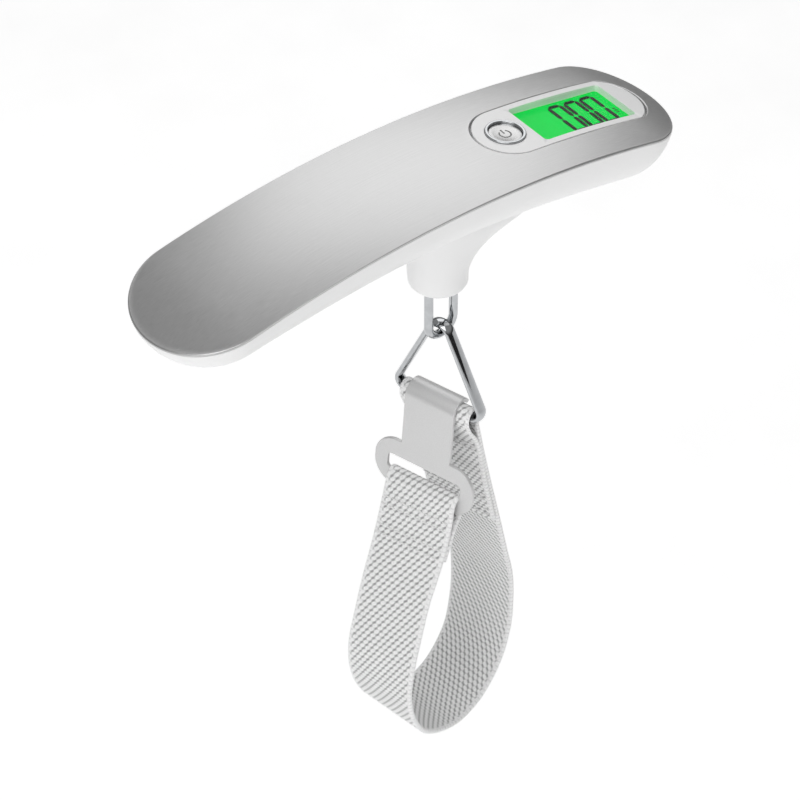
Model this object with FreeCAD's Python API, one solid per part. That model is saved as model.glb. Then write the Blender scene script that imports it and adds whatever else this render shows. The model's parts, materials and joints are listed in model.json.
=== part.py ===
import FreeCAD, Part
import math
import os
from FreeCAD import Matrix, Placement, Rotation
from FreeCAD import Vector as V

# Digital luggage scale: an arched handle with a display, and a strap loop that hangs under it.
# Millimetres. The origin is on the pull axis, level with the highest point of the handle's seam.
# +X runs along the handle to the display, -Y is the side that the display's lower edge faces, +Z is up.

# Handle: its seam is an arc of a large circle seen from the side
ARCH_R = 260.3
ARCH_X = -10.9              # highest point of the arc
HALF_W = 17.8
LEFT_END, RIGHT_END = -79.7, 60.9
LEFT_CAP, RIGHT_CAP = 15.7, 13.2   # length of the rounded ends
END_DEPTH, LEFT_DEPTH, RIGHT_DEPTH = 12.6, 14.6, 17.0   # lower housing: left tip, left half, display half
WALL = 2.0
SEAM_GAP = 0.1
SHEET = 0.5                 # steel cover
CROWN = 0.75                # rise of the cover from its edge to its middle
FRAME_T = 1.3               # plastic frame under the cover

# Stem: (height, middle along X, half length along X, half width along Y)
STEM_BOTTOM = -34.4
STEM_LEVELS = ((-32.4, -1.0, 7.0, 7.0), (-28.5, -0.8, 7.3, 7.2), (-24.5, 0.6, 8.6, 7.7),
               (-20.0, 3.8, 12.8, 8.8), (-16.5, 7.8, 19.5, 10.2), (-11.5, 11.3, 27.0, 11.5))
STEM_ROUND = 1.6
BORE_R = 5.4

# Display and button
PANEL_X0, PANEL_X1, PANEL_HALF = 10.0, 56.6, 8.7    # white panel set into the cover
DISPLAY_X = 37.3
WINDOW_L, WINDOW_W = 27.4, 14.0
BUTTON_X, BUTTON_R, TRIM_IN, TRIM_OUT = 17.7, 3.85, 3.95, 4.7

# Load cell and pull eye
CELL_X0, CELL_X1, CELL_HALF, CELL_TOP, CELL_T = -47.0, 5.4, 6.0, -4.0, 7.0
CELL_SCREW_X = (-43.0, -35.0)
EYE_SHANK_R, EYE_WIRE_R, EYE_RING_R, EYE_Z = 2.0, 1.1, 3.7, -27.95

# Battery
BATTERY_X, COIN_R, COIN_T, COIN_TOP = 32.5, 10.0, 3.2, -8.3
DOOR_L, DOOR_W, DOOR_GAP = 27.0, 21.6, 0.15

HOUSING_SCREW_X = (-62.0, 10.2)

# Chain: everything below the eye is turned about the pull axis by this angle
CHAIN_YAW = 17.0
LINK_YAW = 5.0              # the eye and the link stand a little short of square to the ring
LINK_BOTTOM, LINK_H, LINK_HALF_W = -51.5, 23.4, 4.95
LINK_WIRE = (1.05, 1.1)      # half thickness in the link's plane and across it
RING_APEX, RING_BAR = -47.5, -72.3
RING_WIRE = (0.9, 1.65)
RING_HALF, RING_APEX_R, RING_CORNER_R = 11.7, 2.8, 2.4

# Strap and hook
STRAP_W, STRAP_T = 20.0, 1.2
WRAP_IN, WRAP_OUT = 1.68, 2.42      # the webbing is squeezed flat where it goes round the bar
HOOK_T, HOOK_ROLL_R, HOOK_TILT, HOOK_Y = 1.0, 3.0, 6.0, 0.8   # roll radius to the plate's middle
TONGUE_HALF, BASE_HALF, BASE_CORNER = 7.0, 14.3, 6.2
SHOULDER, SLOT_TOP, SLOT_BOTTOM, BASE_BOTTOM = 14.2, 19.0, 23.6, 28.1   # below the bar, along the plate
SLOT_HALF = 10.6
ROLL_ANGLE = 150.0

X, Y, Z = V(1, 0, 0), V(0, 1, 0), V(0, 0, 1)
os.makedirs("parts", exist_ok=True)


def save(name, shape):
    if not shape.isValid():
        print(name, "is not valid")
    shape.exportStep("parts/" + name + ".step")
    print(name, len(shape.Solids), round(shape.Volume, 1))


# ---------------------------------------------------------------- the arch

def arch_z(x):
    """Height of the seam."""
    return math.sqrt(ARCH_R ** 2 - (x - ARCH_X) ** 2) - ARCH_R


def arch_angle(x):
    return math.degrees(math.asin((x - ARCH_X) / ARCH_R))


def station(x):
    """Local frame on the seam at x: X along the arch, Z square to it."""
    return Placement(V(x, 0, arch_z(x)), Rotation(Y, arch_angle(x)))


def placed(shape, place):
    copy = shape.copy()
    copy.Placement = place.multiply(copy.Placement)
    return copy


def polygon(points):
    return Part.makePolygon([V(*p) for p in points] + [V(*points[0])])


def disc(radius, height, x=0.0, y=0.0, z=0.0):
    return Part.makeCylinder(radius, height, V(x, y, z), Z)


def block(x0, x1, half_w, z0, z1):
    return Part.makeBox(x1 - x0, 2 * half_w, z1 - z0, V(x0, -half_w, z0))


def rounded_block(x0, x1, half_w, z0, z1, radius):
    solid = block(x0, x1, half_w, z0, z1)
    return solid.makeFillet(radius, [e for e in solid.Edges if abs(e.tangentAt(0).z) > 0.99])


def under_arch(offset):
    """Everything below the seam's surface raised by offset."""
    return Part.makeCylinder(ARCH_R + offset, 80, V(ARCH_X, -40, -ARCH_R), Y)


def cap(half_face, x, half_w, length, side):
    """Rounded end: half a section turned about the local upright, then stretched to the cap's length."""
    quarters = []
    for turn in (0, 90):
        quarter = half_face.copy()
        quarter.rotate(V(0, 0, 0), Z, turn + (180 if side > 0 else 0))
        quarters.append(quarter.revolve(V(0, 0, 0), Z, 90))
    turned = quarters[0].fuse(quarters[1])
    stretch = Matrix()
    stretch.A11 = length / half_w / math.cos(math.radians(arch_angle(x + side * length / 2)))
    return placed(turned.transformGeometry(stretch), station(x))


def half_ellipse(half_w, depth, rise, whole):
    """Hull section in the YZ plane: a half ellipse under the seam with straight sides above it."""
    curve = Part.Ellipse(V(0, half_w, 0), V(0, 0, -depth), V(0, 0, 0))
    end = math.pi if whole else math.pi / 2
    arc = Part.Arc(curve, 0, end).toShape()
    last = V(0, -half_w, 0) if whole else V(0, 0, -depth)
    corners = [last, V(0, last.y, rise), V(0, half_w, rise), V(0, half_w, 0)]
    sides = [Part.makeLine(a, b) for a, b in zip(corners, corners[1:])]
    return Part.Wire([arc] + sides)


def hull(inset, rise=3.0):
    """Boat-shaped solid under the arch, smaller all round by inset."""
    half_w = HALF_W - inset
    x0, x1 = LEFT_END + LEFT_CAP, RIGHT_END - RIGHT_CAP
    depths = ((x0, END_DEPTH), (-40.0, LEFT_DEPTH), (-8.0, (LEFT_DEPTH + RIGHT_DEPTH) / 2),
              (24.0, RIGHT_DEPTH), (x1, RIGHT_DEPTH))
    rings = []
    for x, depth in depths:
        wire = half_ellipse(half_w, depth - inset, rise, True)
        wire.Placement = station(x)
        rings.append(wire)
    body = Part.makeLoft(rings, True, False)
    for x, depth, length, side in ((x0, END_DEPTH, LEFT_CAP, -1), (x1, RIGHT_DEPTH, RIGHT_CAP, 1)):
        half = Part.Face(half_ellipse(half_w, depth - inset, rise, False))
        body = body.fuse(cap(half, x, half_w, length - inset, side))
    return body


def crown_wire(half_w, low, high, whole):
    """Section of a crowned layer between two heights above the seam."""
    def arc(n):
        if whole:
            return Part.Arc(V(0, -half_w, n), V(0, 0, n + CROWN), V(0, half_w, n)).toShape()
        r = (half_w ** 2 + CROWN ** 2) / (2 * CROWN)
        middle = V(0, half_w / 2, n + CROWN - r + math.sqrt(r * r - half_w ** 2 / 4))
        return Part.Arc(V(0, 0, n + CROWN), middle, V(0, half_w, n)).toShape()
    start = -half_w if whole else 0
    lift = 0 if whole else CROWN
    left = Part.makeLine(V(0, start, low + lift), V(0, start, high + lift))
    right = Part.makeLine(V(0, half_w, high), V(0, half_w, low))
    return Part.Wire(Part.__sortEdges__([left, arc(high), right, arc(low)]))


def crowned(inset, low, high):
    """Thin crowned shell over the whole handle."""
    half_w = HALF_W - inset
    x0, x1 = LEFT_END + LEFT_CAP, RIGHT_END - RIGHT_CAP
    face = Part.Face(crown_wire(half_w, low, high, True))
    face.Placement = station(x0)
    body = face.revolve(V(ARCH_X, 0, -ARCH_R), Y, arch_angle(x1) - arch_angle(x0))
    half = Part.Face(crown_wire(half_w, low, high, False))
    body = body.fuse(cap(half, x0, half_w, LEFT_CAP - inset, -1))
    return body.fuse(cap(half, x1, half_w, RIGHT_CAP - inset, 1))


def panel_prism(grow, low=-12.0, high=12.0):
    """Outline of the display panel, square to the arch: round at one end, blunt at the other."""
    x0, x1, h = PANEL_X0 - grow - DISPLAY_X, PANEL_X1 + grow - DISPLAY_X, PANEL_HALF + grow
    blunt = 0.62 * h
    left = Part.Arc(V(x0 + h, -h, low), V(x0, 0, low), V(x0 + h, h, low)).toShape()
    top = Part.makeLine(V(x0 + h, h, low), V(x1 - blunt, h, low))
    bottom = Part.makeLine(V(x1 - blunt, -h, low), V(x0 + h, -h, low))
    right = Part.Arc(V(x1 - blunt, h, low), V(x1, 0, low), V(x1 - blunt, -h, low)).toShape()
    face = Part.Face(Part.Wire([left, top, right, bottom]))
    return placed(face.extrude(V(0, 0, high - low)), station(DISPLAY_X))


# ---------------------------------------------------------------- handle shells

DISPLAY = station(DISPLAY_X)
BUTTON = station(BUTTON_X)
BATTERY = station(BATTERY_X)

window_hole = placed(rounded_block(-WINDOW_L / 2, WINDOW_L / 2, WINDOW_W / 2, -6, 6, 1.0), DISPLAY)
button_hole = placed(disc(TRIM_OUT + 0.1, 12, z=-6), BUTTON)

top_cover = crowned(0, 0, SHEET).cut(panel_prism(0))
save("top_cover", top_cover)

boss_low = -6.9
bosses = {x: placed(disc(2.6, 10, z=boss_low).cut(disc(1.25, 5.5, z=boss_low)), station(x))
          for x in HOUSING_SCREW_X}
under_cover = crowned(WALL + 0.15, -12, -SEAM_GAP)
PANEL_TOP = SHEET + CROWN - 0.2
bezel = panel_prism(-0.1).common(under_arch(PANEL_TOP)).cut(under_arch(-1.6))
flange = panel_prism(1.4).common(under_arch(-SEAM_GAP)).cut(under_arch(-SEAM_GAP - 1.2))
bezel = bezel.fuse(flange).fuse(bosses[HOUSING_SCREW_X[1]].common(under_arch(CROWN - 0.25)))
lcd_pocket = placed(block(-16.0, 16.0, 9.7, -6, -0.95), DISPLAY)
save("display_bezel", bezel.cut(window_hole).cut(button_hole).cut(lcd_pocket))

# Frame under the cover: a rim inside the lower housing, open under the display and over the load cell
upper_frame = crowned(WALL + 0.15, -FRAME_T, -SEAM_GAP)
upper_frame = upper_frame.cut(panel_prism(1.6)).cut(block(CELL_X0 - 1, 8, CELL_HALF + 0.6, -20, 10))
upper_frame = upper_frame.cut(placed(disc(2.8, 12, z=-8), station(HOUSING_SCREW_X[1])))
upper_frame = upper_frame.cut(placed(disc(2.6, 4, z=-3), station(HOUSING_SCREW_X[0])))
upper_frame = upper_frame.fuse(bosses[HOUSING_SCREW_X[0]].common(under_cover))
save("upper_frame", upper_frame)

outer = hull(0)
sections = []
for z, middle, half_x, half_y in STEM_LEVELS:
    if half_x > half_y + 0.01:
        curve = Part.Ellipse(V(middle + half_x, 0, z), V(middle, half_y, z), V(middle, 0, z))
    else:
        curve = Part.Circle(V(middle, 0, z), Z, half_x)
    sections.append(Part.Wire([curve.toShape()]))
stem = Part.makeLoft(sections, True, False)
low_z, low_x, low_r, _ = STEM_LEVELS[0]
foot = disc(low_r, low_z - STEM_BOTTOM, x=low_x, z=STEM_BOTTOM)
rim = [e for e in foot.Edges if e.Curve.TypeId == "Part::GeomCircle" and e.BoundBox.ZMax < low_z - 0.1]
foot = foot.makeFillet(STEM_ROUND, rim)
cavity = hull(WALL)
mid_wall = hull(WALL / 2)
solid_hull = outer.fuse(stem).fuse(foot)
housing = solid_hull.cut(cavity).common(under_arch(-SEAM_GAP))
cell_seat = block(CELL_X0, CELL_SCREW_X[1] + 4, CELL_HALF, -30, CELL_TOP - CELL_T).common(mid_wall)
housing = housing.fuse(cell_seat)
for x in HOUSING_SCREW_X:
    post = placed(disc(3.3, 25, z=boss_low - 25.1), station(x)).common(mid_wall)
    housing = housing.fuse(post)
housing = housing.cut(disc(BORE_R, 40, z=STEM_BOTTOM - 1))
for x in CELL_SCREW_X:
    housing = housing.cut(disc(1.55, 10, x=x, z=CELL_TOP - 11))
for x in HOUSING_SCREW_X:
    depth = LEFT_DEPTH if x < 0 else RIGHT_DEPTH
    head = placed(disc(2.6, 14, z=-depth - 10.5), station(x))
    housing = housing.cut(head).cut(placed(disc(1.3, 20, z=boss_low - 19), station(x)))
door_hole = placed(rounded_block(-DOOR_L / 2, DOOR_L / 2, DOOR_W / 2, -26, -9, 3.0), BATTERY)
housing = housing.cut(door_hole)
save("lower_housing", housing)

door_prism = placed(rounded_block(-DOOR_L / 2 + DOOR_GAP, DOOR_L / 2 - DOOR_GAP, DOOR_W / 2 - DOOR_GAP,
                                  -26, -9, 3.0 - DOOR_GAP), BATTERY)
door = solid_hull.cut(hull(WALL - 0.3)).common(door_prism)
stem_keep = disc(BORE_R, 40, z=STEM_BOTTOM - 1)
save("battery_door", door.cut(stem_keep))

screws = []
for x in HOUSING_SCREW_X:
    depth = LEFT_DEPTH if x < 0 else RIGHT_DEPTH
    top = -depth + 3.45
    screw = disc(2.3, 1.5, z=top - 1.5).fuse(disc(1.2, boss_low + 5.0 - top, z=top))
    screw = screw.cut(Part.makeBox(3, 0.6, 0.7, V(-1.5, -0.3, top - 1.5)))
    screws.append(placed(screw, station(x)))
save("housing_screws", Part.makeCompound(screws))

# ---------------------------------------------------------------- display, board and button

BOARD_TOP, BOARD_T = -5.0, 1.0
window = rounded_block(-WINDOW_L / 2 + 0.1, WINDOW_L / 2 - 0.1, WINDOW_W / 2 - 0.1, -0.85, 0.6, 0.9)
save("display_window", placed(window, DISPLAY))
save("lcd_panel", placed(block(-14.6, 14.6, 8.4, -1.7, -1.0), DISPLAY))
save("light_guide", placed(block(-13.6, 13.6, 6.6, -3.1, -1.75), DISPLAY))
strips = [placed(Part.makeBox(27, 1.2, 3.15, V(-13.5, y - 0.6, -4.95)), DISPLAY) for y in (-7.6, 7.6)]
save("elastomer_connectors", Part.makeCompound(strips))
holder = block(-15.2, 15.8, 9.5, -4.95, -1.0).cut(block(-14.7, 14.7, 8.5, -6, 0))
save("lcd_holder", placed(holder, DISPLAY))

BOARD_X0, BOARD_X1, BOARD_HALF = -23.5, 15.9, 10.2
BOARD_LOW = BOARD_TOP - BOARD_T
save("circuit_board", placed(rounded_block(BOARD_X0, BOARD_X1, BOARD_HALF, BOARD_LOW, BOARD_TOP, 1.5), DISPLAY))

# The board lies square to the display; the arch drops and turns a little by the button
drop = BUTTON.Base - DISPLAY.Base
SWITCH_X = drop.dot(DISPLAY.Rotation.multVec(X))
SINK = drop.dot(DISPLAY.Rotation.multVec(Z))
save("controller_chip", placed(disc(3.0, 1.1, x=SWITCH_X, z=BOARD_LOW - 1.1), DISPLAY))
small = [Part.makeBox(2.0, 1.2, 0.7, V(SWITCH_X - 2.6 + 3.2 * i, y - 0.6, BOARD_TOP))
         for i in range(2) for y in (-8.2, -5.4, 5.4, 8.2)]
save("board_components", placed(Part.makeCompound(small), DISPLAY))
switch = rounded_block(SWITCH_X - 3, SWITCH_X + 3, 3, BOARD_TOP, SINK - 1.75, 0.4)
switch = switch.cut(disc(1.8, 3, x=SWITCH_X, z=BOARD_TOP + 0.9))
save("tact_switch", placed(switch, DISPLAY))
plunger_top = SINK - 1.18
plunger_low = BOARD_TOP + 1.4
save("switch_plunger", placed(disc(1.7, plunger_top - plunger_low, x=SWITCH_X, z=plunger_low), DISPLAY))

button = disc(BUTTON_R, 1.9, z=-0.95).cut(Part.makeSphere(26, V(0, 0, 0.65 + 26)))
button = button.fuse(disc(TRIM_OUT - 0.4, 0.5, z=-0.95))
save("power_button", placed(button, BUTTON))
trim = disc(TRIM_OUT, 1.5, z=-0.02).cut(disc(TRIM_IN, 3, z=-1))
save("button_trim_ring", placed(trim, BUTTON))

# ---------------------------------------------------------------- battery

coin = disc(COIN_R, COIN_T, z=COIN_TOP - COIN_T)
coin = coin.makeFillet(0.4, [e for e in coin.Edges if e.Curve.TypeId == "Part::GeomCircle"])
save("coin_cell", placed(coin, BATTERY))
cup = disc(11.0, 1.1, z=-7.8).cut(disc(5.0, 3, z=-8.8))
wall = disc(10.75, 2.7, z=-10.5).cut(disc(10.15, 4, z=-11.0))
save("battery_holder", placed(cup.fuse(wall).cut(block(8, 12, 3.5, -11.4, -7.85)), BATTERY))
leaf = block(-4.0, 4.0, 1.5, -8.2, -8.0).fuse(block(-4.0, -3.7, 1.5, -8.2, -6.7))
save("battery_contact_negative", placed(leaf, BATTERY))
clip = Part.makeBox(0.3, 6.0, 2.4, V(10.1, -3.0, -10.4)).fuse(Part.makeBox(2.0, 6.0, 0.25, V(10.1, -3.0, -8.1)))
save("battery_contact_positive", placed(clip, BATTERY))

# ---------------------------------------------------------------- load cell and pull eye

cell = block(CELL_X0, CELL_X1, CELL_HALF, CELL_TOP - CELL_T, CELL_TOP)
waist = CELL_TOP - CELL_T / 2
for x in (-25.0, -13.0):
    cell = cell.cut(Part.makeCylinder(2.6, 2 * CELL_HALF, V(x, -CELL_HALF, waist), Y))
cell = cell.cut(block(-25, -13, CELL_HALF, waist - 1.0, waist + 1.0))
for x in CELL_SCREW_X:
    cell = cell.cut(disc(1.6, CELL_T, x=x, z=CELL_TOP - CELL_T))
cell = cell.cut(disc(EYE_SHANK_R + 0.08, CELL_T, z=CELL_TOP - CELL_T))
save("load_cell", cell)

gauges = []
for x in (-25.0, -13.0):
    for z in (CELL_TOP, CELL_TOP - CELL_T - 0.15):
        gauges.append(block(x - 2.5, x + 2.5, 2.0, z, z + 0.15))
save("strain_gauges", Part.makeCompound(gauges))

bolts = []
for x in CELL_SCREW_X:
    bolt = disc(2.7, 1.7, x=x, z=CELL_TOP).fuse(disc(1.5, 10, x=x, z=CELL_TOP - 10))
    bolts.append(bolt.cut(Part.makeBox(3.6, 0.7, 0.8, V(x - 1.8, -0.35, CELL_TOP + 0.9))))
save("load_cell_screws", Part.makeCompound(bolts))

turn = Placement(V(0, 0, 0), Rotation(Z, CHAIN_YAW))
link_turn = Placement(V(0, 0, 0), Rotation(Z, LINK_YAW))
WASHER_T, NUT_T = 0.5, 2.6
nut_low = CELL_TOP + WASHER_T
hexagon = [(4.04 * math.cos(math.radians(60 * i)), 4.04 * math.sin(math.radians(60 * i)), nut_low)
           for i in range(6)]
nut = Part.Face(polygon(hexagon)).extrude(V(0, 0, NUT_T)).cut(disc(EYE_SHANK_R, 9, z=nut_low - 3))
save("eye_nut", placed(nut, link_turn))
save("eye_washer", disc(4.4, WASHER_T - 0.02, z=CELL_TOP + 0.01).cut(disc(EYE_SHANK_R, 2, z=CELL_TOP - 1)))
shank_low = EYE_Z + EYE_RING_R
shank_top = nut_low + NUT_T + 0.3
shank = disc(EYE_SHANK_R, shank_top - shank_low, z=shank_low)
ring = Part.makeTorus(EYE_RING_R, EYE_WIRE_R, V(0, 0, EYE_Z), X)
save("pull_eye", placed(shank.fuse(ring), link_turn))

# Four wires from the gauges, over the load cell's edge and beside the eye's nut, to the board


def wire_path(points, radius):
    """Straight runs joined by tangent arcs."""
    points = [V(*p) for p in points]
    edges = []
    start = points[0]
    for before, corner, after in zip(points, points[1:], points[2:]):
        to, away = (corner - before).normalize(), (after - corner).normalize()
        half = to.getAngle(away) / 2
        cut = radius * math.tan(half)
        a, b = corner - to * cut, corner + away * cut
        middle = corner + (away - to).normalize() * (radius / math.cos(half) - radius)
        edges += [Part.makeLine(start, a), Part.Arc(a, middle, b).toShape()]
        start = b
    return Part.Wire(edges + [Part.makeLine(start, points[-1])])


def tube(points, radius, bend):
    path = wire_path(points, bend)
    first = path.Edges[0]
    section = Part.Wire([Part.Circle(first.valueAt(0), first.tangentAt(0), radius).toShape()])
    return path.makePipeShell([section], True, True)


wires = []
for i in range(4):
    y = 7.6 + 0.9 * i
    wires.append(tube([(-12 + i, 2.3, CELL_TOP + 0.4), (-8 + i, y, CELL_TOP + 0.6), (4, y, CELL_TOP - 0.2),
                       (12.4, 0.85 * y, -5.5)], 0.35, 2.4))
save("gauge_wires", Part.makeCompound(wires))

# ---------------------------------------------------------------- link and ring


def oval_section(at, across, in_plane, out_of_plane):
    """Elliptic wire section: across is the in-plane direction, X the other."""
    if out_of_plane >= in_plane:
        curve = Part.Ellipse(at + X * out_of_plane, at + across * in_plane, at)
    else:
        curve = Part.Ellipse(at + across * in_plane, at + X * out_of_plane, at)
    return Part.Wire([curve.toShape()])


def bent_loop(corners, radii, half_in, half_out):
    """Closed loop of wire in the YZ plane round three or more corners, each with its own bend."""
    count = len(corners)
    cuts, arcs = [], []
    for i, corner in enumerate(corners):
        to = (corner - corners[i - 1]).normalize()
        away = (corners[(i + 1) % count] - corner).normalize()
        half = to.getAngle(away) / 2
        cut = radii[i] * math.tan(half)
        a, b = corner - to * cut, corner + away * cut
        middle = corner + (away - to).normalize() * (radii[i] / math.cos(half) - radii[i])
        cuts.append((a, b))
        arcs.append(Part.Arc(a, middle, b).toShape())
    solid = None
    for i in range(count):
        centre = arcs[i].Curve.Center
        a = cuts[i][0]
        face = Part.Face(oval_section(a, (a - centre).normalize(), half_in, half_out))
        axis = arcs[i].Curve.Axis
        angle = math.degrees(arcs[i].LastParameter - arcs[i].FirstParameter)
        bend = face.revolve(centre, axis, angle)
        b, following = cuts[i][1], cuts[(i + 1) % count][0]
        run = following - b
        pieces = [bend]
        if run.Length > 1e-4:
            side = X.cross(run).normalize()
            pieces.append(Part.Face(oval_section(b, side, half_in, half_out)).extrude(run))
        for piece in pieces:
            solid = piece if solid is None else solid.fuse(piece)
    return solid.removeSplitter()


link_r = LINK_HALF_W - LINK_WIRE[0]
low, high = LINK_BOTTOM + LINK_WIRE[0], LINK_BOTTOM + LINK_H - LINK_WIRE[0]
corners = [V(0, -link_r, low), V(0, link_r, low), V(0, link_r, high), V(0, -link_r, high)]
link = bent_loop(corners, [link_r] * 4, *LINK_WIRE)
link.rotate(V(0, 0, 0), Z, 90)
save("oval_link", placed(link, link_turn))

half_apex = math.atan2(RING_HALF, RING_APEX - RING_BAR)
for _ in range(20):
    # the sides meet above the apex bend, and spread so that the corner bends reach the ring's half width
    tip = RING_APEX + RING_APEX_R * (1 / math.sin(half_apex) - 1)
    spread = RING_HALF + RING_CORNER_R * (1 / math.tan(math.pi / 4 - half_apex / 2) - 1)
    half_apex = math.atan2(spread, tip - RING_BAR)
corners = [V(0, -spread, RING_BAR), V(0, spread, RING_BAR), V(0, 0, tip)]
ring = bent_loop(corners, [RING_CORNER_R, RING_CORNER_R, RING_APEX_R], *RING_WIRE)
save("triangle_ring", placed(ring, turn))

# ---------------------------------------------------------------- hook

roll_in, roll_out = HOOK_ROLL_R - HOOK_T / 2, HOOK_ROLL_R + HOOK_T / 2
bar = V(0, 0, RING_BAR)

# the plate hangs straight down from the roll on its -X side; it is tilted about the bar at the end
plate = Part.makeBox(HOOK_T, 2 * BASE_HALF, BASE_BOTTOM - SHOULDER,
                     V(-roll_out, -BASE_HALF, RING_BAR - BASE_BOTTOM))
plate = plate.makeFillet(BASE_CORNER, [e for e in plate.Edges if abs(e.tangentAt(0).x) > 0.99])
tongue = Part.makeBox(HOOK_T, 2 * TONGUE_HALF, SHOULDER + 1, V(-roll_out, -TONGUE_HALF, RING_BAR - SHOULDER - 1))
slot = Part.makeBox(3 * HOOK_T, 2 * SLOT_HALF, SLOT_BOTTOM - SLOT_TOP,
                    V(-roll_out - HOOK_T, -SLOT_HALF, RING_BAR - SLOT_BOTTOM))
slot = slot.makeFillet(1.2, [e for e in slot.Edges if abs(e.tangentAt(0).x) > 0.99])
roll_face = Part.Face(polygon([(-roll_out, -TONGUE_HALF, RING_BAR), (-roll_in, -TONGUE_HALF, RING_BAR),
                               (-roll_in, TONGUE_HALF, RING_BAR), (-roll_out, TONGUE_HALF, RING_BAR)]))
roll = roll_face.revolve(bar, Y, ROLL_ANGLE)
hook = plate.fuse(tongue).fuse(roll).cut(slot).removeSplitter()
tilted = Placement(V(0, HOOK_Y, 0), Rotation(Y, HOOK_TILT), bar)
save("strap_hook", placed(placed(hook, tilted), turn))

# ---------------------------------------------------------------- strap

# middle of the webbing seen along the bar: X across the loop, Z down, from the bar round to the hook
FAR_LEG = [(1.75, -73.9), (2.3, -78.7), (7.9, -99.0), (12.3, -115.0), (17.0, -131.7), (20.0, -142.7),
           (20.5, -152.0), (19.4, -163.0), (15.4, -172.6), (8.2, -177.3), (-0.9, -177.9), (-9.0, -174.3),
           (-17.2, -167.4), (-22.9, -158.5), (-25.0, -149.0), (-24.2, -141.0), (-21.0, -131.0), (-16.9, -120.3)]
NEAR_END = [(-15.9, -118.6), (-13.6, -113.5), (-10.8, -107.6), (-8.8, -103.6), (-7.0, -101.6)]


def ribbon(points, thickness):
    """Band of that thickness on both sides of a smooth line through the points."""
    line = Part.BSplineCurve()
    line.interpolate([V(x, 0, z) for x, z in points])
    first, last = line.FirstParameter, line.LastParameter
    count = 3 * len(points)
    sides = []
    for sign in (1, -1):
        offset = []
        for i in range(count):
            t = first + (last - first) * i / (count - 1)
            along = line.tangent(t)[0]
            offset.append(line.value(t) + V(-along.z, 0, along.x) * (sign * thickness / 2))
        side = Part.BSplineCurve()
        side.interpolate(offset)
        sides.append((side.toShape(), offset[0], offset[-1]))
    (a, a0, a1), (b, b0, b1) = sides
    edges = Part.__sortEdges__([a, b, Part.makeLine(a0, b0), Part.makeLine(a1, b1)])
    return Part.Face(Part.Wire(edges)).extrude(V(0, STRAP_W, 0)).translated(V(0, -STRAP_W / 2, 0))


def wrap(radius_in, radius_out, centre):
    return (Part.makeCylinder(radius_out, STRAP_W, centre - Y * (STRAP_W / 2), Y)
            .cut(Part.makeCylinder(radius_in, STRAP_W, centre - Y * (STRAP_W / 2), Y)))


far = ribbon(FAR_LEG, STRAP_T).fuse(wrap(WRAP_IN, WRAP_OUT, bar)).removeSplitter()
save("webbing_strap", placed(far, turn))
# The near end goes through the hook's slot, round its lower bar, and is sewn to itself
SLEEVE_GAP = 0.15
outer_x = (-roll_out - SLEEVE_GAP - STRAP_T, -roll_in + SLEEVE_GAP + STRAP_T)
sleeve = block(outer_x[0], outer_x[1], STRAP_W / 2, RING_BAR - BASE_BOTTOM - SLEEVE_GAP - 2.0,
               RING_BAR - SLOT_BOTTOM + SLEEVE_GAP + STRAP_T)
sleeve = sleeve.cut(block(-roll_out - SLEEVE_GAP, -roll_in + SLEEVE_GAP, STRAP_W,
                          RING_BAR - BASE_BOTTOM - SLEEVE_GAP, RING_BAR - SLOT_BOTTOM + SLEEVE_GAP))
near = placed(sleeve, tilted).fuse(ribbon(NEAR_END, 2 * STRAP_T).translated(V(0, HOOK_Y, 0)))
save("strap_near_end", placed(near.removeSplitter(), turn))
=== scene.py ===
import json
import math
import bpy
import numpy as np
from mathutils import Matrix, Vector


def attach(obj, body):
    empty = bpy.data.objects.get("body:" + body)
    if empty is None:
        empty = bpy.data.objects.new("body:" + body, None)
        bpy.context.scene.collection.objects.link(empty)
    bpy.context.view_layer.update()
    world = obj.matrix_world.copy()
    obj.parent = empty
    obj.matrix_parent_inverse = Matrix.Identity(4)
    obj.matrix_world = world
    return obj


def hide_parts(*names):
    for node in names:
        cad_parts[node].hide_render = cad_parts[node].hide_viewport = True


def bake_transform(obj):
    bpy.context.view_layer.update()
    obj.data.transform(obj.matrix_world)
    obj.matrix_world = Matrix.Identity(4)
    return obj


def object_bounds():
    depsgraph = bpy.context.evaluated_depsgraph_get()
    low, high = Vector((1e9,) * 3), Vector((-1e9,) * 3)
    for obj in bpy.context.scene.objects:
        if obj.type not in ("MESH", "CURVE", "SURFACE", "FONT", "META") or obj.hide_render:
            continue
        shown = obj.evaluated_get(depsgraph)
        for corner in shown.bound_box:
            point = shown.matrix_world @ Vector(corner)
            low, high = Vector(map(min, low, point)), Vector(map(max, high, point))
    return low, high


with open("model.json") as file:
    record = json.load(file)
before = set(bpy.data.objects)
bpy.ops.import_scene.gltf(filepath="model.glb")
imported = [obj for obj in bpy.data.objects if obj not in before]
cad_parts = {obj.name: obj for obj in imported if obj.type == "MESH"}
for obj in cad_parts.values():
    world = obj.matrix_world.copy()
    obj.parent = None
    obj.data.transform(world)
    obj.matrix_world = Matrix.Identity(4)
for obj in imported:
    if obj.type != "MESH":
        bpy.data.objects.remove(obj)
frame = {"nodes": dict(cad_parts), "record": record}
CAD_BOX = [list(corner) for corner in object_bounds()]

bl_info = {
    "name": "Digital Luggage Scale",
    "version": (1, 0, 0),
    "blender": (4, 5, 0),
    "location": "View3D > Sidebar > Scale",
    "description": "Builds the visible pieces, finishes and stage of a hand-held luggage scale",
    "category": "Add Mesh",
}

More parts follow.
